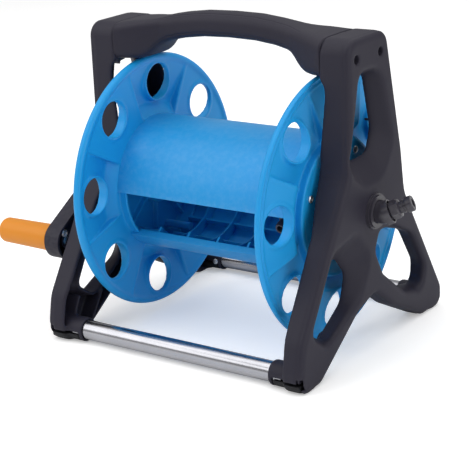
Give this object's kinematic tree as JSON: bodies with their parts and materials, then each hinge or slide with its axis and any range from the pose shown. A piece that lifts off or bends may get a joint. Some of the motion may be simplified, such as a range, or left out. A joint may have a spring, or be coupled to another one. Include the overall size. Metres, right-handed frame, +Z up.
{
  "type": "portable garden hose reel",
  "caption": "Free-standing hose reel: two A-shaped plastic side frames, a carrying handle, two steel cross tubes, a flanged drum with a crank, and a swivel hose inlet.",
  "frame": {"origin": "on the floor, under the middle of the object's box", "axes": "+Z up, +X along the axle from the crank to the hose inlet, +Y from front to back"},
  "size_m": [0.4882, 0.302, 0.354],
  "materials": {
    "black_plastic": "fine moulded texture, charcoal",
    "fitting_plastic": "satin, charcoal",
    "blue_plastic": "satin moulded, bright blue",
    "orange_plastic": "satin moulded, orange",
    "tube_steel": "bright plated",
    "screw_steel": "zinc plated",
    "bearing_plastic": "natural acetal",
    "rubber": "matte"
  },
  "bodies": {
    "stand": {"frame_left": "black_plastic", "frame_right": "black_plastic", "handle": "black_plastic", "handle_cover": "black_plastic", "handle_screws": "screw_steel", "tube_front": "tube_steel", "tube_rear": "tube_steel", "tube_screws": "screw_steel", "foot_pad_front_left": "rubber", "foot_pad_front_right": "rubber", "foot_pad_rear_left": "rubber", "foot_pad_rear_right": "rubber", "bush_left": "bearing_plastic", "bush_right": "bearing_plastic", "inlet_collar": "fitting_plastic"},
    "reel": {"flange_left": "blue_plastic", "flange_right": "blue_plastic", "barrel_upper": "blue_plastic", "barrel_lower": "blue_plastic", "barrel_screws": "screw_steel", "drive_shaft": "black_plastic", "water_shaft": "fitting_plastic", "shaft_screws": "screw_steel", "outlet_elbow": "fitting_plastic", "outlet_tail": "fitting_plastic", "crank_arm": "black_plastic", "crank_bolt": "screw_steel", "crank_cap": "black_plastic", "crank_pin": "screw_steel", "crank_pin_screws": "screw_steel", "grip_washer": "screw_steel", "grip_screw": "screw_steel"},
    "grip": {"crank_grip": "orange_plastic", "grip_cap": "orange_plastic"},
    "inlet": {"inlet_elbow": "fitting_plastic", "inlet_nut": "fitting_plastic", "inlet_nozzle": "fitting_plastic", "inlet_orings": "rubber"}
  },
  "joints": [
    {"name": "reel_spin", "type": "hinge", "parent": "stand", "child": "reel", "pos_m": [0.03129, 0, 0.154], "axis": [1, 0, 0], "continuous": true},
    {"name": "grip_spin", "type": "hinge", "parent": "reel", "child": "grip", "pos_m": [-0.20872, -0.09343, 0.09786], "axis": [1, 0, 0], "continuous": true},
    {"name": "inlet_swivel", "type": "hinge", "parent": "stand", "child": "inlet", "pos_m": [0.1913, 0, 0.154], "axis": [1, 0, 0], "continuous": true}
  ]
}
